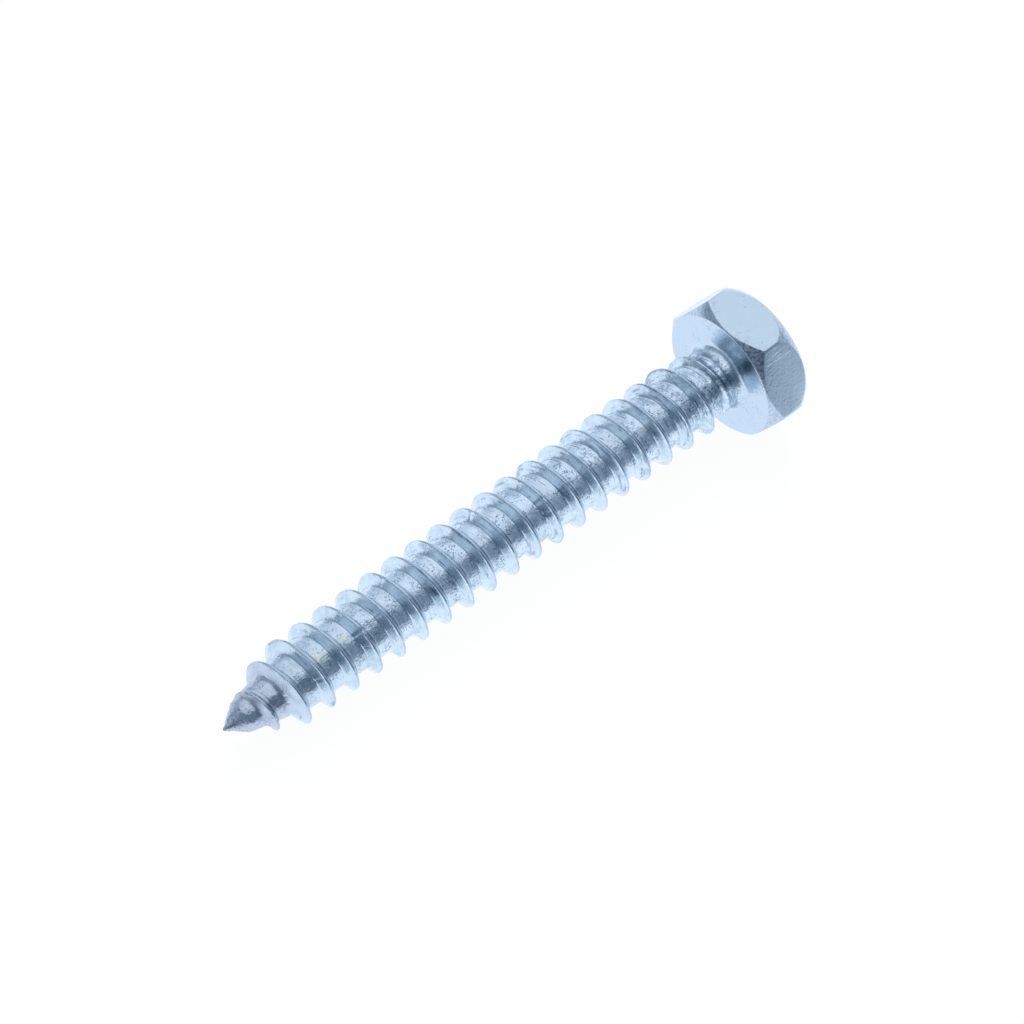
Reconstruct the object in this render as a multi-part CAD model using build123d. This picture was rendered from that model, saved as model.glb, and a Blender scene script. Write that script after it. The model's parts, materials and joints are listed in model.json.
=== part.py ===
from build123d import *
from math import atan2, cos, degrees, pi, radians, sin, tan
import os

# All sizes are in millimetres and degrees

# Length from the point to the underside of the head
length_under_head = 31.2

# Spaced thread
crest_diameter = 4.1
root_diameter = 3.05
pitch = 1.41
flank_angle = 30.0
crest_angle_at_point = 271.5

# Point: a short steep cone, then a slender taper up to the full root
tip_cone_length = 1.05
tip_cone_radius = 0.8
point_taper_length = 3.25
crest_cone_angle = 22.5
first_full_crest = 3.65
thread_start = 1.2
thread_rise = 0.7

# Neck under the head, where the thread runs out
runout_length = 2.3
runout_power = 3.0
runout_gap = 0.7
neck_diameter = 3.2
neck_length = 1.5
underhead_flare = 0.5

# Hexagon head
across_flats = 6.8
head_height = 2.6
corner_rounding = 0.15
bearing_diameter = 6.64
bearing_chamfer_angle = 46.0
top_diameter = 6.66
crown_diameter = 7.47
crown_drop = 0.6
top_corner_drop = 1.3

# Depth to which the ridge of the thread runs on inside the shank
ridge_root_depth = 0.2
ridge_end_depth = 0.06

# The helical edges are drawn a quarter turn at a time, each through a few points
stretches_per_turn = 4
points_per_stretch = 7

crest_radius = crest_diameter / 2
root_radius = root_diameter / 2
neck_radius = neck_diameter / 2
flat_distance = across_flats / 2
corner_distance = flat_distance / cos(pi / 6)
bearing_radius = bearing_diameter / 2
top_radius = top_diameter / 2
crown_radius = crown_diameter / 2
head_top = length_under_head + head_height
taper_end = tip_cone_length + point_taper_length
neck_start = length_under_head - neck_length
flare_start = length_under_head - underhead_flare
thread_end = length_under_head - runout_gap

# The core's outline as (distance from the point, radius)
core_outline = [
    (0, 0),
    (tip_cone_length, tip_cone_radius),
    (taper_end, root_radius),
    (neck_start, root_radius),
    (flare_start, neck_radius),
    (length_under_head, neck_radius + underhead_flare),
]


# The core's radius at a distance from the point, read off its outline
def core_radius(along):
    for (x0, r0), (x1, r1) in zip(core_outline, core_outline[1:]):
        if along <= x1:
            return r0 + (r1 - r0) * (along - x0) / (x1 - x0)
    return core_outline[-1][1]


# How much of its full height the thread has: it rises at the point and sinks away under the head
def thread_share(along):
    risen = min(max((along - thread_start) / thread_rise, 0), 1)
    run = min(max((along - thread_end + runout_length) / runout_length, 0), 1)
    return risen * risen * (3 - 2 * risen) * (1 - run**runout_power)


# The crest's radius: full along the shank, on a cone at the point
def crest_radius_at(along):
    on_cone = crest_radius - (first_full_crest - along) * tan(radians(crest_cone_angle))
    full = min(crest_radius, on_cone)
    buried = core_radius(along) - ridge_end_depth
    return buried + (full - buried) * thread_share(along)


# The angle round the axis at which the crest passes a distance from the point
def crest_angle(along):
    return radians(crest_angle_at_point) + 2 * pi * along / pitch


# The three corners of the ridge's section where its crest passes a distance from the point
def ridge_corners(along):
    crest = crest_radius_at(along)
    base = core_radius(along) - ridge_root_depth
    half_base = (crest - base) * tan(radians(flank_angle))
    angle = crest_angle(along)
    section = [(-half_base, base), (0, crest), (half_base, base)]
    return [
        Vector(along + shift, -radius * sin(angle), radius * cos(angle)) for shift, radius in section
    ]


# One edge of the ridge over a stretch of the thread, smooth with the stretches before and after it
def ridge_edge(corner, stations, nudge):
    points = [ridge_corners(along)[corner] for along in stations]
    slopes = [
        (ridge_corners(along + nudge)[corner] - ridge_corners(along - nudge)[corner]) / (2 * nudge)
        for along in (stations[0], stations[-1])
    ]
    return Edge.make_spline(points, slopes, parameters=stations, scale=False)


# The helical ridge of the thread, as one closed solid
def thread_ridge():
    thread_length = thread_end - thread_start
    stretches = round(thread_length / pitch * stretches_per_turn)
    count = stretches * points_per_stretch
    stations = [thread_start + thread_length * i / count for i in range(count + 1)]
    nudge = thread_length / count / 100
    faces = []
    for first in range(0, count, points_per_stretch):
        stretch = stations[first : first + points_per_stretch + 1]
        edges = [ridge_edge(corner, stretch, nudge) for corner in range(3)]
        for corner in range(3):
            faces.append(Face.make_surface_from_curves(edges[corner], edges[corner - 1]))
    for along in (stations[0], stations[-1]):
        faces.append(Face(Wire.make_polygon(ridge_corners(along))))
    return Solid(Shell(faces))


# The core, from the point to the flare under the head
def core():
    outline = Polyline(*core_outline, (length_under_head, 0), (0, 0))
    return revolve(make_face(Plane.XY * outline), Axis.X)


# The head: a hexagonal prism trimmed by a chamfer below and rounded corners above
def head():
    chamfer = (corner_distance - bearing_radius) * tan(radians(bearing_chamfer_angle))
    outline = Polyline(
        (length_under_head, 0),
        (length_under_head, bearing_radius),
        (length_under_head + chamfer, corner_distance),
        (head_top - top_corner_drop, corner_distance),
        (head_top - crown_drop, crown_radius),
        (head_top, top_radius),
        (head_top, 0),
        (length_under_head, 0),
    )
    turned = revolve(make_face(Plane.XY * outline), Axis.X)
    hexagon = fillet(
        RegularPolygon(flat_distance, 6, major_radius=False, rotation=30).vertices(), corner_rounding
    )
    prism = Pos(length_under_head, 0, 0) * Rot(0, 90, 0) * extrude(hexagon, head_height)
    return turned & prism


# Where the lying screw touches the ground: the edge of a flat below the head, and one full turn of crest
def rest_tilt():
    flat_edge = (flat_distance - bearing_radius) * tan(radians(bearing_chamfer_angle))
    head_contact = length_under_head + max(flat_edge, 0)
    downward = pi - radians(crest_angle_at_point)
    turns = [pitch * (downward / (2 * pi) + turn) for turn in range(round(head_contact / pitch))]
    crests = [along for along in turns if thread_start < along < thread_end]
    slopes = [(flat_distance - crest_radius_at(along)) / (head_contact - along) for along in crests]
    return atan2(min(slopes), 1)


# The screw about its own axis, point at the origin and one flat facing up
def screw():
    return core() + thread_ridge() + head()


# The screw lying as it comes to rest, its point low and its head on one flat
def lying(solid):
    tilted = Rot(0, -degrees(rest_tilt()), 0) * solid
    box = tilted.bounding_box()
    return Pos(-box.center().X, -box.center().Y, -box.min.Z) * tilted


os.makedirs("parts", exist_ok=True)
export_step(lying(screw()), "parts/screw.step")
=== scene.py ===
import json
from math import cos, pi, radians, sin, tan

import bmesh
import bpy
import numpy as np
from mathutils import Matrix, Vector


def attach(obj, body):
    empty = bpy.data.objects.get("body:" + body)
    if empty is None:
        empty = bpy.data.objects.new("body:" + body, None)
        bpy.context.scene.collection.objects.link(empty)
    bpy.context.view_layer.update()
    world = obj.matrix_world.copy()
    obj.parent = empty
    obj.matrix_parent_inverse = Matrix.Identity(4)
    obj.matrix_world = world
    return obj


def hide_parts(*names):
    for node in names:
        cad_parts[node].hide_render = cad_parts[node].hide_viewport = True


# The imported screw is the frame: it gives the screw's own axis and the middle of the head's top.
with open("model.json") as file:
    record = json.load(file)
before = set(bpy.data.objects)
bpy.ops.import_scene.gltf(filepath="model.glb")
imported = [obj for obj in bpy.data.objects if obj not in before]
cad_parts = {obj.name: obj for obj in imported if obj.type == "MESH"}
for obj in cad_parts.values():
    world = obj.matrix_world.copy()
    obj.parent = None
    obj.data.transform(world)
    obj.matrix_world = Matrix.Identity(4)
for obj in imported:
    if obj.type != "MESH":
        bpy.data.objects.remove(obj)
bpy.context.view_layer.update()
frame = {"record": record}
headMount = next(m for m in frame["record"]["mounts"] if m["name"] == "head_top")
mm = 0.001
fullTurn = 2 * pi

# Everything about the screw's shape that a user would change, in millimetres and degrees. Each
# random field has its own seed.
screw = {
    "lengthUnderHead": 31.2,
    "crestDiameter": 4.1,
    "rootDiameter": 3.05,
    "pitch": 1.41,
    "flankAngle": 30,
    "crestAngleAtPoint": 271.5,
    "crestLand": 0.09,
    "rootFillet": 0.16,
    "tipConeLength": 1.05,
    "tipConeRadius": 0.8,
    "tipBluntness": 0.12,
    "leastRadius": 0.01,
    "pointTaperLength": 3.25,
    "crestConeAngle": 22.5,
    "firstFullCrest": 3.65,
    "threadStart": 1.2,
    "threadRise": 0.7,
    "runoutLength": 2.3,
    "runoutPower": 3.0,
    "runoutGap": 0.7,
    "buriedDepth": 0.06,
    "neckDiameter": 3.2,
    "neckLength": 1.5,
    "neckFillet": 0.5,
    "neckRings": (29.75, 30.15, 30.52),
    "ringHeight": 0.035,
    "ringWidth": 0.075,
    "acrossFlats": 6.8,
    "headHeight": 2.6,
    "cornerRounding": 0.15,
    "bearingDiameter": 6.64,
    "chamferAngle": 46,
    "topDiameter": 6.66,
    "crownDepth": 1.39,
    "edgeRounding": 0.035,
    "crestWaver": 0.02,
    "waverSize": 2.4,
    "nickDepth": 0.035,
    "nickSize": 0.7,
    "nickLevel": 0.8,
    "lumpDepth": 0.0045,
    "lumpSize": 0.55,
    "tipLumpDepth": 0.02,
    "tipLumpSize": 0.5,
    "tipLumpReach": 0.6,
    "tipLumpStart": 0.25,
    "seeds": {"waver": 5, "nicks": 6, "lumps": 7, "tipLumps": 8},
    "columnsPerFlat": 27,
    "landRows": (0.35, 0.85, 1.3),  # shares of half the land
    "flankRows": (0.11, 0.18, 0.25, 0.31, 0.36, 0.41, 0.47, 0.54, 0.62),  # distances from the crest
    "gridGap": 0.05,  # between the shank's grid and the fillet under the head
    "rimWidth": 0.15,  # the outermost ring of the bearing face and of the top
}
pitch = screw["pitch"]
crestRadius = screw["crestDiameter"] / 2
rootRadius = screw["rootDiameter"] / 2
neckRadius = screw["neckDiameter"] / 2
bearingRadius = screw["bearingDiameter"] / 2
topRadius = screw["topDiameter"] / 2
flatDistance = screw["acrossFlats"] / 2
cornerDistance = flatDistance / cos(pi / 6)
headTop = screw["lengthUnderHead"] + screw["headHeight"]
threadEnd = screw["lengthUnderHead"] - screw["runoutGap"]
neckEnd = screw["lengthUnderHead"] - screw["neckFillet"]
gridEnd = neckEnd - screw["gridGap"]

# The screw's own axes in the frame: along to the head, up through the upper flat, and across.
along = np.array(headMount["axis"]) / np.linalg.norm(headMount["axis"])
across = np.array([0.0, 1.0, 0.0])
upward = np.cross(along, across)
point = np.array(headMount["pos_m"]) - along * headTop * mm


def place(x, radius, angle):
    # A point's place: x along the axis from the point, then radius out at that angle from the
    # upper flat.
    sideways = -radius * np.sin(angle)
    height = radius * np.cos(angle)
    parts = [a[..., None] * v for a, v in ((x, along), (sideways, across), (height, upward))]
    return point + mm * sum(parts)


def waves(places, size, seed):
    # Smooth random field: a sum of plane waves of about the given size, in random directions,
    # about -1 to 1.
    count = 12
    rng = np.random.default_rng(seed)
    total = 0
    for start in rng.random(count):
        heading = rng.normal(size=len(places))
        waveLength = size * rng.uniform(0.7, 1.6)
        rate = fullTurn / waveLength / np.linalg.norm(heading)
        phase = rate * sum(h * p for h, p in zip(heading, places))
        total = total + np.sin(phase + start * fullTurn)
    return total / count**0.5


def smoothStep(t):
    # 0 below 0, 1 above 1, and 3t² - 2t³ between them.
    t = np.clip(t, 0, 1)
    return t * t * (3 - 2 * t)


def coreRadius(x):
    # Radius of the shank without its thread: a blunted cone, a slender taper, the root, the neck.
    tip = screw["tipConeLength"]
    neckStart = screw["lengthUnderHead"] - screw["neckLength"]
    stations = [0, tip, tip + screw["pointTaperLength"], neckStart, neckEnd]
    radii = [0, screw["tipConeRadius"], rootRadius, rootRadius, neckRadius]
    sharp = np.interp(x, stations, radii)
    slope = screw["tipConeRadius"] / tip
    fade = np.clip(1 - x / tip, 0, 1) ** 2
    return np.sqrt(sharp**2 + slope**2 * screw["tipBluntness"] * np.maximum(x, 0) * fade)


def threadShare(x):
    # How much of its height the thread has: it rises at the point and sinks away under the head.
    risen = smoothStep((x - screw["threadStart"]) / screw["threadRise"])
    run = np.clip((x - threadEnd + screw["runoutLength"]) / screw["runoutLength"], 0, 1)
    return risen * (1 - run ** screw["runoutPower"])


def crestRadiusAt(x):
    # Radius of the crest: on a cone at the point, then level, and under the surface where there
    # is no thread.
    slope = tan(radians(screw["crestConeAngle"]))
    onCone = crestRadius - (screw["firstFullCrest"] - x) * slope
    buried = coreRadius(x) - screw["buriedDepth"]
    return buried + (np.minimum(crestRadius, onCone) - buried) * threadShare(x)


def crestWear(x, offset):
    # How far the crest is worn down, along the unwound thread: a slow waver and small nicks.
    wound = (x - offset) / pitch * fullTurn * crestRadius
    waver = waves([wound], screw["waverSize"], screw["seeds"]["waver"])
    nicks = waves([wound], screw["nickSize"], screw["seeds"]["nicks"]) - screw["nickLevel"]
    worn = screw["crestWaver"] * np.clip(0.5 + 0.5 * waver, 0, 1)
    return (worn + screw["nickDepth"] * np.clip(nicks, 0, 1)) * threadShare(x)


def lumpyCore(x, angle):
    # The core's radius with the wire's small lumps, deeper ones at the pinched point, and the
    # faint rings that the rolls left on the neck, each a bell curve.
    core = coreRadius(x)
    spots = [x, core * np.cos(angle), core * np.sin(angle)]
    atTip = np.exp(-x / screw["tipLumpReach"]) * smoothStep(x / screw["tipLumpStart"])
    lumps = waves(spots, screw["lumpSize"], screw["seeds"]["lumps"])
    tipLumps = waves(spots, screw["tipLumpSize"], screw["seeds"]["tipLumps"])
    core = core + screw["lumpDepth"] * lumps + screw["tipLumpDepth"] * atTip * tipLumps
    for ring in screw["neckRings"]:
        core = core + screw["ringHeight"] * np.exp(-(((x - ring) / screw["ringWidth"]) ** 2))
    return np.where(x > 0, np.maximum(core, screw["leastRadius"]), 0)


def shankRadius(x, angle):
    # The higher of the core and the ridge, with a fillet where they meet. The ridge falls from its
    # narrow land at the slope of its flanks. Its middle passes this angle once every pitch.
    turns = (angle - radians(screw["crestAngleAtPoint"])) / fullTurn
    offset = np.mod(x - pitch * turns + pitch / 2, pitch) - pitch / 2
    fall = np.maximum(np.abs(offset) - screw["crestLand"] / 2, 0)
    ridge = crestRadiusAt(x - offset) - crestWear(x, offset)
    ridge = ridge - fall / tan(radians(screw["flankAngle"]))
    core = lumpyCore(x, angle)
    fillet = screw["rootFillet"] * np.clip(x / screw["threadStart"], 0.001, 1)
    near = np.maximum(fillet - np.abs(ridge - core), 0) / fillet
    return np.where(x > 0, np.maximum(ridge, core) + near * near * fillet / 4, 0)


def shankGrid():
    # Rows that wind with the thread, close together at the crest's edges, cut off square at both
    # ends. The columns are even round the screw.
    half = screw["crestLand"] / 2
    side = [share * half for share in screw["landRows"]] + list(screw["flankRows"])
    rowPlaces = np.array([-s for s in side[::-1]] + side + [pitch / 2])
    turnCount = int(np.ceil(gridEnd / pitch)) + 2
    rows = (np.arange(-2, turnCount)[:, None] * pitch + rowPlaces).ravel()
    columns = 6 * screw["columnsPerFlat"]
    angle = np.arange(columns + 1) / columns * fullTurn
    turns = (angle - radians(screw["crestAngleAtPoint"])) / fullTurn
    x = np.clip(rows[:, None] + pitch * turns, 0, gridEnd)
    angle = np.broadcast_to(angle, x.shape)
    turnOfRow = np.round((rows[:-1] + rows[1:]) / 2 / pitch)
    return x, shankRadius(x, angle), angle, np.broadcast_to(rows[:, None], x.shape), turnOfRow


def roundedPath(corners, size):
    # A path with each inner corner rounded: three points on a curve that starts and ends the given
    # size away, or a little less than half of a shorter side.
    path = [corners[0]]
    for before, corner, after in zip(corners, corners[1:], corners[2:]):
        arms = [end - corner for end in (before, after)]
        lengths = [np.maximum(np.linalg.norm(arm, axis=0), 1e-9) for arm in arms]
        reach = [np.minimum(size, length * 0.45) / length for length in lengths]
        first, last = (corner + arm * share for arm, share in zip(arms, reach))
        path += [first, (first + 2 * corner + last) / 4, last]
    return path + [corners[-1]]


def crownRadius(below):
    # Radius of the rounded corners' outline at a distance below the top: a parabola, upright at
    # its foot.
    rise = (1 - below / screw["crownDepth"]) ** 2
    return cornerDistance - (cornerDistance - topRadius) * rise


def hexagonOutline():
    # The hexagon's radius at each column, the flat's distance over a cosine or the arc of a
    # rounded corner, and the column's angle. Columns crowd towards the corners.
    sector = np.arange(6 * screw["columnsPerFlat"] + 1) / screw["columnsPerFlat"] + 0.5
    inSector = pi / 6 * np.sin((np.mod(sector, 1) * 2 - 1) * pi / 2)
    straight = flatDistance / np.cos(inSector)
    rounding = screw["cornerRounding"]
    centre = (flatDistance - rounding) / cos(pi / 6)
    aside = pi / 6 - np.abs(inSector)
    reach = np.minimum(centre * np.sin(aside), rounding)
    rounded = centre * np.cos(aside) + np.sqrt(rounding**2 - reach**2)
    inCorner = centre * np.sin(aside) < rounding / 2
    outline = np.where(inCorner, np.minimum(straight, rounded), straight)
    return outline, np.floor(sector) * pi / 3 + inSector


def headGrid():
    # A path from the neck over the bearing face, chamfer, flat and crown to the middle of the top,
    # at each angle. Where the hexagon is wide, the chamfer and the crown take more of it, so the
    # flats are ovals. A row is (distance from the point, radius, 0 for even or 1 for crowded
    # columns), and the first one is the shank's last.
    outline, crowded = hexagonOutline()
    level = np.ones(len(outline))
    even = np.arange(len(outline)) / (len(outline) - 1) * fullTurn
    under, fillet = screw["lengthUnderHead"], screw["neckFillet"]
    bearingRim, topRim = bearingRadius - screw["rimWidth"], topRadius - 2 * screw["rimWidth"]
    chamferEnd = under + (outline - bearingRadius) * tan(radians(screw["chamferAngle"]))
    cut = np.sqrt((cornerDistance - outline) / (cornerDistance - topRadius))
    depth = screw["crownDepth"] * (1 - cut)
    inner = neckRadius + fillet
    bends = np.linspace(0, pi / 2, 8)[1:]
    rings = np.linspace(0, 1, 7)[1:]
    foot = [(gridEnd, shankRadius(gridEnd * level, even), 0), (neckEnd, neckRadius, 0)]
    foot += [(neckEnd + fillet * sin(b), neckRadius + fillet * (1 - cos(b)), 0) for b in bends]
    foot += [(under, inner + (bearingRim - inner) * r, r) for r in rings]
    crown = [(headTop - depth * share, crownRadius(depth * share)) for share in (0.75, 0.5, 0.25)]
    corners = [
        (under * level, bearingRim * level),
        (under * level, bearingRadius * level),
        (chamferEnd, outline),
        ((chamferEnd + headTop - depth) / 2, outline),
        (headTop - depth, outline),
        *crown,
        (headTop * level, topRadius * level),
        (headTop * level, topRim * level),
    ]
    rounded = roundedPath([np.stack(corner) for corner in corners], screw["edgeRounding"])[1:]
    middle = [(headTop, topRim * part, 1) for part in (0.66, 0.33, 0)]
    path = foot + [(row[0], row[1], 1) for row in rounded] + middle
    x, radius, mixed = (np.stack([row[i] * level for row in path]) for i in range(3))
    return x, radius, even * (1 - mixed) + crowded * mixed, x, np.zeros(len(path) - 1)


def addGrid(bm, x, radius, angle, crossing, turnOfRow):
    # Puts one grid of points into the mesh as four-sided faces. The map unrolls the screw: the
    # first coordinate runs on round and round with the thread, the second is the distance from
    # the crest.
    rowCount, columnCount = x.shape
    numbers = np.arange(rowCount * columnCount).reshape(rowCount, columnCount)
    low, high = slice(None, -1), slice(1, None)
    corners = [(low, low), (low, high), (high, high), (high, low)]
    quads = np.stack([numbers[corner] for corner in corners], axis=-1).reshape(-1, 4)
    turn = turnOfRow[:, None]
    lengthwise = [(angle[corner] + fullTurn * turn) * rootRadius for corner in corners]
    sideways = [crossing[corner] - pitch * turn for corner in corners]
    unrolled = np.stack([np.stack(lengthwise, axis=-1), np.stack(sideways, axis=-1)], axis=-1)
    patch = bpy.data.meshes.new("patch")
    patch.from_pydata(place(x, radius, angle).reshape(-1, 3), [], quads)
    layer = patch.uv_layers.new(name="unrolled")
    layer.data.foreach_set("uv", unrolled.astype(np.float32).ravel())
    bm.from_mesh(patch)
    bpy.data.meshes.remove(patch)


def makeScrew():
    # The two grids as one closed mesh: what meets at the neck, the point, the seam and the middle
    # of the top is merged. Distances are in metres.
    bm = bmesh.new()
    for grid in (shankGrid(), headGrid()):
        addGrid(bm, *grid)
    bmesh.ops.remove_doubles(bm, verts=bm.verts, dist=2e-7)
    bmesh.ops.dissolve_degenerate(bm, edges=bm.edges, dist=1e-8)
    bmesh.ops.recalc_face_normals(bm, faces=bm.faces)
    for face in bm.faces:
        face.smooth = True
    mesh = bpy.data.meshes.new("sheetMetalScrew")
    bm.to_mesh(mesh)
    bm.free()
    piece = bpy.data.objects.new("sheetMetalScrew", mesh)
    bpy.context.scene.collection.objects.link(piece)
    return piece


def feed(tree, socket, value):
    # Links another node's output to a socket, or sets the socket to a plain value.
    if isinstance(value, bpy.types.NodeSocket):
        tree.links.new(value, socket)
    else:
        socket.default_value = value


def node(tree, kind, links=None, **settings):
    # Adds a node with its settings and feeds its named sockets.
    made = tree.nodes.new(kind)
    for name, value in settings.items():
        setattr(made, name, value)
    for name, value in (links or {}).items():
        feed(tree, made.inputs[name], value)
    return made


def startTree(owner):
    # The emptied node tree of a material or a world.
    owner.use_nodes = True
    owner.node_tree.nodes.clear()
    return owner.node_tree


def calc(tree, operation, *values):
    # Arithmetic on plain numbers. MULTIPLY_ADD is the first times the second plus the third.
    return node(tree, "ShaderNodeMath", dict(enumerate(values)), operation=operation).outputs[0]


def times(tree, first, *others):
    # The product of any number of values.
    for other in others:
        first = calc(tree, "MULTIPLY", first, other)
    return first


def calcVector(tree, operation, *values):
    # A vector operation. Only the dot product and the length give a plain number.
    made = node(tree, "ShaderNodeVectorMath", dict(enumerate(values)), operation=operation)
    return made.outputs["Value" if operation in ("DOT_PRODUCT", "LENGTH") else "Vector"]


def ramp(tree, value, low, high):
    # Rises smoothly from 0 to 1 as the value goes from low to high, or falls where low is the
    # greater.
    links = {"Value": value, "From Min": low, "From Max": high}
    made = node(tree, "ShaderNodeMapRange", links, interpolation_type="SMOOTHSTEP")
    return made.outputs["Result"]


def blend(tree, share, first, second):
    # Goes from the first colour to the second as the share goes from 0 to 1.
    made = node(tree, "ShaderNodeMix", {"Factor": share}, data_type="RGBA")
    for number, color in ((6, first), (7, second)):
        isPlain = not isinstance(color, bpy.types.NodeSocket)
        feed(tree, made.inputs[number], (*color, 1) if isPlain else color)
    return made.outputs[2]


def noise(tree, where, size, detail=3.0):
    # Noise of about 0 to 1 whose features have the given size in the units of the place.
    links = {"Vector": where, "Scale": 1 / size, "Detail": detail}
    return node(tree, "ShaderNodeTexNoise", links).outputs["Fac"]


def startGroup(name, inputs, outputs):
    # A new node group with its sockets: its tree, what it is given and what it puts out.
    tree = bpy.data.node_groups.new(name, "ShaderNodeTree")
    for way, sockets in (("INPUT", inputs), ("OUTPUT", outputs)):
        for socketName, kind in sockets.items():
            tree.interface.new_socket(socketName, in_out=way, socket_type="NodeSocket" + kind)
    given = tree.nodes.new("NodeGroupInput").outputs
    return tree, given, tree.nodes.new("NodeGroupOutput").inputs


def useGroup(tree, group, links):
    # Places a node group and gives its one output.
    return node(tree, "ShaderNodeGroup", links, node_tree=group).outputs[0]


def strokeGroup():
    # A soft stroke between two places: 1 within a third of its width of the line, 0 beyond its
    # width. A stroke that starts and ends at one place is a round spot.
    inputs = {"Place": "Vector", "Start": "Vector", "End": "Vector", "Width": "Float"}
    tree, given, out = startGroup("stroke", inputs, {"Mask": "Float"})
    arm = calcVector(tree, "SUBTRACT", given["Place"], given["Start"])
    line = calcVector(tree, "SUBTRACT", given["End"], given["Start"])
    lengthSquared = calcVector(tree, "DOT_PRODUCT", line, line)
    passed = calc(tree, "DIVIDE", calcVector(tree, "DOT_PRODUCT", arm, line), lengthSquared)
    held = calc(tree, "MINIMUM", calc(tree, "MAXIMUM", passed, 0.0), 1.0)
    foot = calcVector(tree, "MULTIPLY", line, held)
    gap = calcVector(tree, "LENGTH", calcVector(tree, "SUBTRACT", arm, foot))
    nearness = calc(tree, "DIVIDE", gap, given["Width"])
    tree.links.new(ramp(tree, nearness, 1.0, 0.3), out["Mask"])
    return tree


def specksGroup():
    # Scattered specks: where fine noise passes a level that coarser noise raises and lowers in
    # patches.
    inputs = {"Place": "Vector", "Size": "Float", "Level": "Float", "Patchiness": "Float"}
    tree, given, out = startGroup("specks", inputs, {"Mask": "Float"})
    finely = calcVector(tree, "DIVIDE", given["Place"], given["Size"])
    fine = noise(tree, finely, 1.0, 4.0)
    patches = noise(tree, finely, 7.0, 2.0)
    lifted = times(tree, calc(tree, "SUBTRACT", patches, 0.5), given["Patchiness"])
    above = calc(tree, "SUBTRACT", calc(tree, "ADD", fine, lifted), given["Level"])
    tree.links.new(ramp(tree, above, 0.0, 0.13), out["Mask"])
    return tree


def wrinklesGroup():
    # Fine broken lines, where noise passes its middle value, kept to patches of coarser noise.
    inputs = {"Place": "Vector", "Size": "Float", "Level": "Float"}
    tree, given, out = startGroup("wrinkles", inputs, {"Mask": "Float"})
    finely = calcVector(tree, "DIVIDE", given["Place"], given["Size"])
    fromMiddle = calc(tree, "SUBTRACT", noise(tree, finely, 1.0, 4.0), 0.5)
    fromMiddle = calc(tree, "ABSOLUTE", fromMiddle)
    patches = calc(tree, "SUBTRACT", noise(tree, finely, 3.0, 2.0), given["Level"])
    line = times(tree, ramp(tree, fromMiddle, 0.06, 0.02), ramp(tree, patches, 0.0, 0.08))
    broken = times(tree, line, ramp(tree, noise(tree, finely, 0.55, 2.0), 0.42, 0.56))
    tree.links.new(broken, out["Mask"])
    return tree


stroke, specks, wrinkles = strokeGroup(), specksGroup(), wrinklesGroup()

# The plate's colours and marks, in millimetres. A place is (distance from the point, degrees
# round, radius). A span is the two values between which a mask goes from 0 to 1. A strength is
# (what its own region adds, what it is everywhere).
plate = {
    "bright": (0.68, 0.765, 0.86),
    "dull": (0.51, 0.59, 0.66),
    "flank": (0.665, 0.75, 0.82),
    "onHead": (0.57, 0.65, 0.735),
    "atPoint": (0.54, 0.575, 0.665),
    "forged": (0.49, 0.51, 0.59),
    "crest": (0.41, 0.47, 0.58),
    "tint": (0.73, 0.72, 0.50),
    # Painted shade: a patchy dark teal laid over the shank towards the neck, under the head.
    "neckShade": (0.33, 0.45, 0.51),
    # The dark colour of the pits, also used for the painted shade spots.
    "pitAndShade": (0.18, 0.24, 0.33),
    "scratch": (0.92, 0.95, 1.0),
    "tintSpots": [((5.2, 15, 1.525), 0.45), ((6.8, 13, 1.525), 0.3), ((23.06, 2, 1.525), 0.3)],
    # Painted shade: a dark spot on the bearing face beside the neck.
    "shadeSpots": [((31.2, 35, 2.84), 0.65)],
    "scratches": [
        ((31.71, 37.5, 3.685), (32.54, 36.5, 3.7), 0.035),
        ((31.76, 41.2, 3.595), (33.22, 41.8, 3.58), 0.045),
    ],
    "forgedSpot": ((31.6, 32, 3.6), 2.6),
    "forgedStrength": (0.7, 0.3),
    "crownShare": 0.8,
    "chamferSlants": ((-0.25, -0.5), (-0.97, -0.88)),
    "crownSlants": ((0.05, 0.3), (0.97, 0.88)),
    "headSpan": (0, 0.04),  # from the underside of the head
    "shankSpan": (0, -0.4),
    "threadSpans": ((1.3, 2.2), (threadEnd, threadEnd - 1)),
    "crestSpan": (0.065, 0.025),
    "flankSpan": (0.42, 0.34),
    "neckSpan": (26.5, 29.0),
    "tipSpan": (4.2, 1.6),
    "greySpan": (4.5, 2.0),
    "dullSpan": (12.0, 5.0),
    "dullShare": 0.3,
    "cloudSize": 0.6,
    "neckShadeSize": 0.45,
    "lumpSize": 0.36,
    "grainSize": 0.14,
    "lineStretch": (0.5, 9.0, 1.0),
    "lineShare": 0.35,
    "pitsAndShade": {"Size": 0.13, "Level": 0.61, "Patchiness": 0.7},
    "pitStrength": (0.5, 0.25),
    "wrinkles": {"Size": 0.18, "Level": 0.49},
    "wrinkleStrength": (0.85, 0.1),
    "markSpan": (3.0, 10.0),  # specks and wrinkles are fewer before it, but for the tip
    "markStrength": (0.5, 0.5),
    "tipMarkShare": 0.4,
    "streaks": {"Size": 0.9, "Level": 0.57, "Patchiness": 0.6},
    "streakStretch": (1.0, 10.0, 1.0),
    "streakSpan": (4.0, 26.0),
    "streakStrength": (0.5, 0.2),
    "seamShare": 0.8,
    "shadeSpotShare": 0.7,
    "crestShare": 0.6,
    "neckShadeShare": 0.6,
    "mottleShare": 0.85,
    "roughness": (0.13, 0.27),
    "addedRoughness": 0.12,
    "grainHeight": 0.0085,
    "rollingHeight": 0.006,
    "lumpHeight": 0.029,
    "lumpStrength": (0.85, 0.2),
    "pitDepth": 0.004,
}


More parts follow.
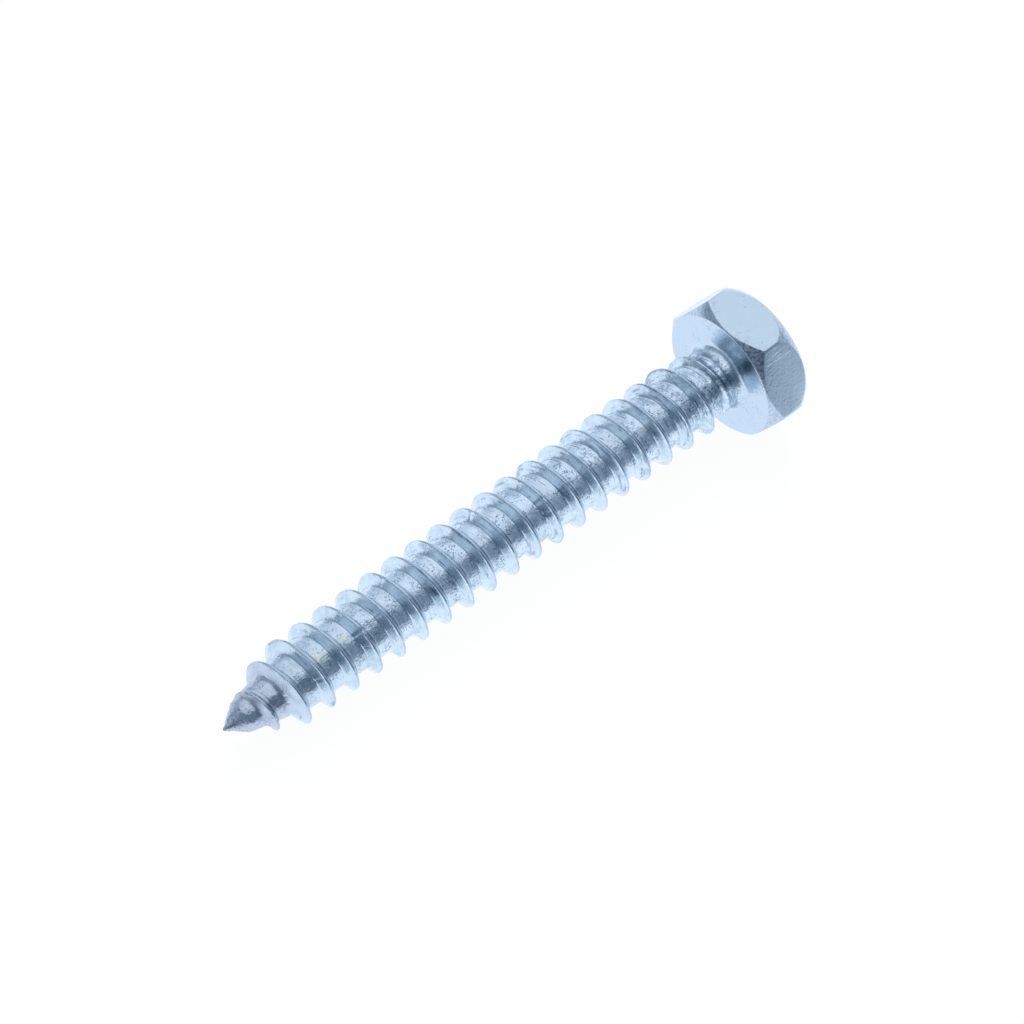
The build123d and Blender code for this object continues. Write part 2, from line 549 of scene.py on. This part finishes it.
def strokeMask(tree, where, start, end, width):
    # A stroke between two places on the screw.
    x, degrees, radius = np.array([start, end]).T
    ends = [Vector(corner) for corner in place(x, radius, np.radians(degrees)) / mm]
    links = {"Place": where, "Start": ends[0], "End": ends[1], "Width": width}
    return useGroup(tree, stroke, links)


def findRegions(tree):
    # Masks for the parts of the screw, from the distance along its axis, the slant of the surface
    # to it and the distance from the thread's crest on the unrolled map.
    where = node(tree, "ShaderNodeTexCoord").outputs["Object"]
    where = calcVector(tree, "MULTIPLY", where, [1 / mm] * 3)
    fromPoint = calcVector(tree, "SUBTRACT", where, Vector(point / mm))
    distance = calcVector(tree, "DOT_PRODUCT", fromPoint, Vector(along))
    normal = node(tree, "ShaderNodeNewGeometry").outputs["Normal"]
    slant = calcVector(tree, "DOT_PRODUCT", normal, Vector(along))
    unrolled = node(tree, "ShaderNodeUVMap", uv_map="unrolled").outputs["UV"]
    fromCrest = node(tree, "ShaderNodeSeparateXYZ", {0: unrolled}).outputs["Y"]
    fromCrest = calc(tree, "ABSOLUTE", fromCrest)

    under = screw["lengthUnderHead"]
    head = ramp(tree, distance, *(under + end for end in plate["headSpan"]))
    shank = ramp(tree, distance, *(under + end for end in plate["shankSpan"]))
    chamfers = times(tree, *(ramp(tree, slant, *span) for span in plate["chamferSlants"]))
    crown = times(tree, *(ramp(tree, slant, *span) for span in plate["crownSlants"]))
    spot, size = plate["forgedSpot"]
    forgedMost = strokeMask(tree, where, spot, spot, size)
    forgedShare = calc(tree, "MULTIPLY_ADD", forgedMost, *plate["forgedStrength"])
    corners = calc(tree, "MULTIPLY_ADD", crown, plate["crownShare"], chamfers)
    threaded = times(tree, *(ramp(tree, distance, *span) for span in plate["threadSpans"]))
    flank = times(tree, ramp(tree, fromCrest, *plate["flankSpan"]), threaded)
    return {
        "where": where,
        "unrolled": unrolled,
        "distance": distance,
        "shank": shank,
        "forged": times(tree, corners, head, forgedShare),
        "crest": times(tree, ramp(tree, fromCrest, *plate["crestSpan"]), threaded),
        "flank": flank,
        "root": times(tree, calc(tree, "SUBTRACT", 1.0, flank), shank),
        "neck": times(tree, ramp(tree, distance, *plate["neckSpan"]), shank),
        "tip": ramp(tree, distance, *plate["tipSpan"]),
    }


def findMarks(tree, on):
    # Clouds, lumps and grain are noise, and lines are noise stretched along the thread. The pits
    # and
    # shade are all the dark marks: specks and wrinkles, streaks and seams along the thread, and
    # spots of painted shade on the bearing face beside the neck.
    where, distance, shank = on["where"], on["distance"], on["shank"]
    clouds = noise(tree, where, plate["cloudSize"])
    lineMap = calcVector(tree, "MULTIPLY", on["unrolled"], plate["lineStretch"])
    lines = times(tree, noise(tree, lineMap, 1.0), shank)
    dulled = ramp(tree, calc(tree, "MULTIPLY_ADD", lines, plate["lineShare"], clouds), 0.55, 1.0)
    nearPoint = ramp(tree, distance, *plate["dullSpan"])
    dulled = calc(tree, "MULTIPLY_ADD", nearPoint, plate["dullShare"], dulled)

    pitsAndShade = useGroup(tree, specks, {"Place": where, **plate["pitsAndShade"]})
    pitsAndShade = times(tree, pitsAndShade, calc(tree, "MULTIPLY_ADD", on["root"], *plate["pitStrength"]))
    lined = useGroup(tree, wrinkles, {"Place": where, **plate["wrinkles"]})
    strength = calc(tree, "MULTIPLY_ADD", on["root"], *plate["wrinkleStrength"])
    pitsAndShade = calc(tree, "MAXIMUM", pitsAndShade, times(tree, lined, strength, shank))
    beyondPoint = ramp(tree, distance, *plate["markSpan"])
    strength = calc(tree, "MULTIPLY_ADD", beyondPoint, *plate["markStrength"])
    strength = calc(tree, "MULTIPLY_ADD", on["tip"], plate["tipMarkShare"], strength)
    pitsAndShade = times(tree, pitsAndShade, strength)

    streakMap = calcVector(tree, "MULTIPLY", on["unrolled"], plate["streakStretch"])
    streaks = useGroup(tree, specks, {"Place": streakMap, **plate["streaks"]})
    towardsHead = ramp(tree, distance, *plate["streakSpan"])
    strength = calc(tree, "MULTIPLY_ADD", towardsHead, *plate["streakStrength"])
    streaks = times(tree, streaks, strength, shank)
    inClouds = times(tree, on["flank"], ramp(tree, clouds, 0.45, 0.6))
    seams = times(tree, ramp(tree, lines, 0.58, 0.68), inClouds, plate["seamShare"])
    pitsAndShade = calc(tree, "MAXIMUM", pitsAndShade, calc(tree, "MAXIMUM", streaks, seams))
    # Painted shade: dark spots on the bearing face beside the neck, where shade falls, joined to
    # the pits.
    for spot, size in plate["shadeSpots"]:
        mark = strokeMask(tree, where, spot, spot, size)
        mark = times(tree, mark, ramp(tree, clouds, 0.25, 0.65), plate["shadeSpotShare"])
        pitsAndShade = calc(tree, "MAXIMUM", pitsAndShade, mark)
    return {
        "clouds": clouds,
        "lumps": noise(tree, where, plate["lumpSize"]),
        "grain": noise(tree, where, plate["grainSize"]),
        "lines": lines,
        "dulled": dulled,
        "pitsAndShade": pitsAndShade,
    }


def mixColor(tree, on, marks):
    # The colour of the plate on shank and head, and over it one layer after another, each a mask
    # and the name of its colour.
    where, clouds = on["where"], marks["clouds"]
    neckShadeNoise = noise(tree, where, plate["neckShadeSize"])
    mottled = times(tree, ramp(tree, marks["grain"], 0.47, 0.58), on["forged"])
    layers = [
        (marks["dulled"], "dull"),
        (ramp(tree, on["distance"], *plate["greySpan"]), "atPoint"),
        (times(tree, on["tip"], ramp(tree, clouds, 0.47, 0.66)), "forged"),
        (on["forged"], "forged"),
        (times(tree, on["crest"], plate["crestShare"]), "crest"),
        # Painted shade: patchy dark teal towards the neck, under the head.
        (times(tree, ramp(tree, neckShadeNoise, 0.45, 0.62), on["neck"], plate["neckShadeShare"]), "neckShade"),
        (times(tree, mottled, plate["mottleShare"]), "pitAndShade"),
    ]
    for spot, size in plate["tintSpots"]:
        mark = strokeMask(tree, where, spot, spot, size)
        layers.append((times(tree, mark, ramp(tree, clouds, 0.3, 0.6)), "tint"))
    scratched = 0.0
    for start, end, width in plate["scratches"]:
        mark = strokeMask(tree, where, start, end, width)
        scratched = calc(tree, "MAXIMUM", mark, scratched)
    # The pits and the painted shade spots take the same dark colour.
    layers += [(marks["pitsAndShade"], "pitAndShade"), (scratched, "scratch")]
    shankColor = blend(tree, on["flank"], plate["bright"], plate["flank"])
    color = blend(tree, on["shank"], plate["onHead"], shankColor)
    for mask, name in layers:
        color = blend(tree, mask, color, plate[name])
    return color


def mixHeight(tree, on, marks):
    # Relief in millimetres: grain that is twice as deep on the root, rolling lines, lumps that are
    # deepest at the neck and the tip, less the depth of the pits and of the painted shade spots.
    grainHeight = calc(tree, "MULTIPLY_ADD", on["root"], plate["grainHeight"], plate["grainHeight"])
    height = times(tree, marks["grain"], grainHeight)
    height = calc(tree, "MULTIPLY_ADD", marks["lines"], plate["rollingHeight"], height)
    lumpShare = calc(tree, "MULTIPLY_ADD", on["root"], *plate["lumpStrength"])
    lumpShare = calc(tree, "ADD", lumpShare, calc(tree, "MAXIMUM", on["neck"], on["tip"]))
    lumpHeight = times(tree, lumpShare, plate["lumpHeight"])
    height = calc(tree, "MULTIPLY_ADD", marks["lumps"], lumpHeight, height)
    return calc(tree, "MULTIPLY_ADD", marks["pitsAndShade"], -plate["pitDepth"], height)


def zincMaterial():
    # Bright zinc: a metal that is rougher in its clouds, at the tip and where the head is forged.
    material = bpy.data.materials.new("brightZincPlate")
    tree = startTree(material)
    on = findRegions(tree)
    marks = findMarks(tree, on)
    smoothest, dullest = plate["roughness"]
    rough = calc(tree, "MULTIPLY_ADD", marks["clouds"], dullest - smoothest, smoothest)
    rougher = calc(tree, "ADD", on["forged"], on["tip"])
    rough = calc(tree, "MULTIPLY_ADD", rougher, plate["addedRoughness"], rough)
    relief = {"Strength": 1.0, "Distance": mm, "Height": mixHeight(tree, on, marks)}
    links = {
        "Base Color": mixColor(tree, on, marks),
        "Metallic": 1.0,
        "Roughness": rough,
        "Normal": node(tree, "ShaderNodeBump", relief).outputs["Normal"],
    }
    shader = node(tree, "ShaderNodeBsdfPrincipled", links)
    node(tree, "ShaderNodeOutputMaterial", {"Surface": shader.outputs["BSDF"]})
    return material


piece = makeScrew()
piece.data.materials.append(zincMaterial())
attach(piece, "root")
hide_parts("screw")
print("screw:", len(piece.data.vertices), "corners,", len(piece.data.polygons), "faces")

# The studio, in metres and degrees. Headings turn from +X towards +Y. Each glow of the walls is
# (heading, how narrow, how strong).
studio = {
    "floorRadius": 1.2,
    "floorCorners": 64,
    "floorColor": (0.93, 0.95, 0.97, 1),
    "floorWhite": 0.965,
    "poolColor": (1.01, 1.14, 1.28),
    "poolCentre": (0.003, 0.027, 0.0),
    "poolStretch": (0.45, 1.0, 1.0),
    "poolSpan": (0.032, 0.055),
    "beyondPool": 0.35,
    "darkColor": (0.070, 0.133, 0.202),
    "brightColor": (0.86, 1.02, 1.18),
    "glows": [(30, 2.7, 1.0), (155, 5.0, 0.3), (-75, 8.0, 0.09)],
    "zenithColor": (0.90, 1.01, 1.12),
    "zenithHeading": 100,
    "zenithElevation": 76,
    "zenithSpan": (0.58, 0.9),
    "lampPlace": (0.35, 0.45, 0.9),
    "lampSize": 0.5,
    "lampPower": 9.0,
}


def aimAt(heading, elevation):
    # The direction of a heading at an elevation.
    heading, elevation = radians(heading), radians(elevation)
    return Vector((cos(heading) * cos(elevation), sin(heading) * cos(elevation), sin(elevation)))


def towards(tree, direction, heading, power):
    # 1 towards a heading, 0 away from it, falling faster at a higher power.
    level = calcVector(tree, "NORMALIZE", calcVector(tree, "MULTIPLY", direction, (1, 1, 0)))
    facing = calcVector(tree, "DOT_PRODUCT", level, aimAt(heading, 0))
    return calc(tree, "POWER", calc(tree, "MULTIPLY_ADD", facing, 0.5, 0.5), power)


def studioLightGroup():
    # The room as a mirror sees it: bright towards the window, dim behind the camera, pale overhead.
    tree, given, out = startGroup("studioLight", {"Direction": "Vector"}, {"Color": "Color"})
    direction = given["Direction"]
    glow = 0.0
    for heading, power, strength in studio["glows"]:
        glow = calc(tree, "MULTIPLY_ADD", towards(tree, direction, heading, power), strength, glow)
    walls = blend(tree, glow, studio["darkColor"], studio["brightColor"])
    zenith = aimAt(studio["zenithHeading"], studio["zenithElevation"])
    facing = calcVector(tree, "DOT_PRODUCT", direction, zenith)
    overhead = ramp(tree, facing, *studio["zenithSpan"])
    tree.links.new(blend(tree, overhead, walls, studio["zenithColor"]), out["Color"])
    return tree


def paperMaterial(light):
    # White paper for the eye, with the shadow on it. A mirror sees a pool of light that dims
    # outwards.
    material = bpy.data.materials.new("whitePaper")
    tree = startTree(material)
    rays = node(tree, "ShaderNodeLightPath").outputs
    where = node(tree, "ShaderNodeTexCoord").outputs["Object"]
    arm = calcVector(tree, "SUBTRACT", where, studio["poolCentre"])
    reach = calcVector(tree, "LENGTH", calcVector(tree, "MULTIPLY", arm, studio["poolStretch"]))
    dimmed = ramp(tree, reach, *studio["poolSpan"])
    room = useGroup(tree, light, {"Direction": where})
    beyond = blend(tree, studio["beyondPool"], room, studio["poolColor"])
    mirrored = blend(tree, dimmed, studio["poolColor"], beyond)
    reflected = calc(tree, "MAXIMUM", rays["Is Glossy Ray"], rays["Is Transmission Ray"])
    shown = times(tree, rays["Is Camera Ray"], studio["floorWhite"])
    color = blend(tree, reflected, (1, 1, 1), mirrored)
    paper = node(tree, "ShaderNodeBsdfDiffuse", {"Color": studio["floorColor"]})
    glow = node(tree, "ShaderNodeEmission", {"Color": color, "Strength": 1.0})
    share = calc(tree, "MAXIMUM", shown, reflected)
    mix = {0: share, 1: paper.outputs[0], 2: glow.outputs[0]}
    mixed = node(tree, "ShaderNodeMixShader", mix)
    node(tree, "ShaderNodeOutputMaterial", {"Surface": mixed.outputs[0]})
    return material


def makeFloor(light):
    # A flat round sheet: its corners lie evenly on a circle.
    count = studio["floorCorners"]
    turn = np.arange(count) / count * fullTurn
    ring = np.stack([np.cos(turn), np.sin(turn), 0 * turn], axis=-1) * studio["floorRadius"]
    mesh = bpy.data.meshes.new("paperFloor")
    mesh.from_pydata(ring, [], [list(range(count))])
    mesh.materials.append(paperMaterial(light))
    floor = bpy.data.objects.new("paperFloor", mesh)
    bpy.context.scene.collection.objects.link(floor)


def makeWorld(light):
    # White for the camera, the lit room for everything else.
    world = bpy.data.worlds.new("softStudio")
    bpy.context.scene.world = world
    tree = startTree(world)
    direction = node(tree, "ShaderNodeTexCoord").outputs["Generated"]
    color = useGroup(tree, light, {"Direction": direction})
    room = node(tree, "ShaderNodeBackground", {"Color": color})
    white = node(tree, "ShaderNodeBackground", {"Color": (1, 1, 1, 1), "Strength": 1.0})
    seen = node(tree, "ShaderNodeLightPath").outputs["Is Camera Ray"]
    mix = {0: seen, 1: room.outputs[0], 2: white.outputs[0]}
    mixed = node(tree, "ShaderNodeMixShader", mix)
    node(tree, "ShaderNodeOutputWorld", {"Surface": mixed.outputs[0]})


def makeLamp():
    # One big soft lamp above, which lights the paper and isn't mirrored itself.
    lamp = bpy.data.objects.new("softLamp", bpy.data.lights.new("softLamp", "AREA"))
    bpy.context.scene.collection.objects.link(lamp)
    lamp.data.size = studio["lampSize"]
    lamp.data.energy = studio["lampPower"]
    lamp.location = studio["lampPlace"]
    lamp.rotation_euler = Vector(studio["lampPlace"]).to_track_quat("Z", "Y").to_euler()
    lamp.visible_glossy = False


light = studioLightGroup()
makeFloor(light)
makeWorld(light)
makeLamp()
print("studio: floor, room and lamp")

# The camera stands where the photograph's did, worked out from the screw's own outline. Lengths
# are in metres, but the lens and the sensor are in millimetres.
view = {
    "target": (0.0012252, 0.0006037, 0.0025),
    "distance": 0.1883948,
    "heading": 40.1557,
    "elevation": 53.1126,
    "roll": -9.2914,
    "lens": 140.625,
    "sensor": 36,
    "nearest": 0.001,
}


def makeCamera():
    # Looks down its heading at the target, from the given distance.
    camera = bpy.data.objects.new("camera", bpy.data.cameras.new("camera"))
    bpy.context.scene.collection.objects.link(camera)
    looking = aimAt(view["heading"], -view["elevation"])
    right = looking.cross(Vector((0, 0, 1))).normalized()
    top = right.cross(looking)
    basis = Matrix((right, top, -looking)).transposed().to_4x4()
    camera.matrix_world = basis @ Matrix.Rotation(radians(-view["roll"]), 4, "Z")
    camera.location = Vector(view["target"]) - looking * view["distance"]
    camera.data.sensor_width = view["sensor"]
    camera.data.lens = view["lens"]
    camera.data.clip_start = view["nearest"]
    bpy.context.scene.camera = camera


makeCamera()
bpy.context.scene.view_settings.view_transform = "Standard"
print("camera and view set")
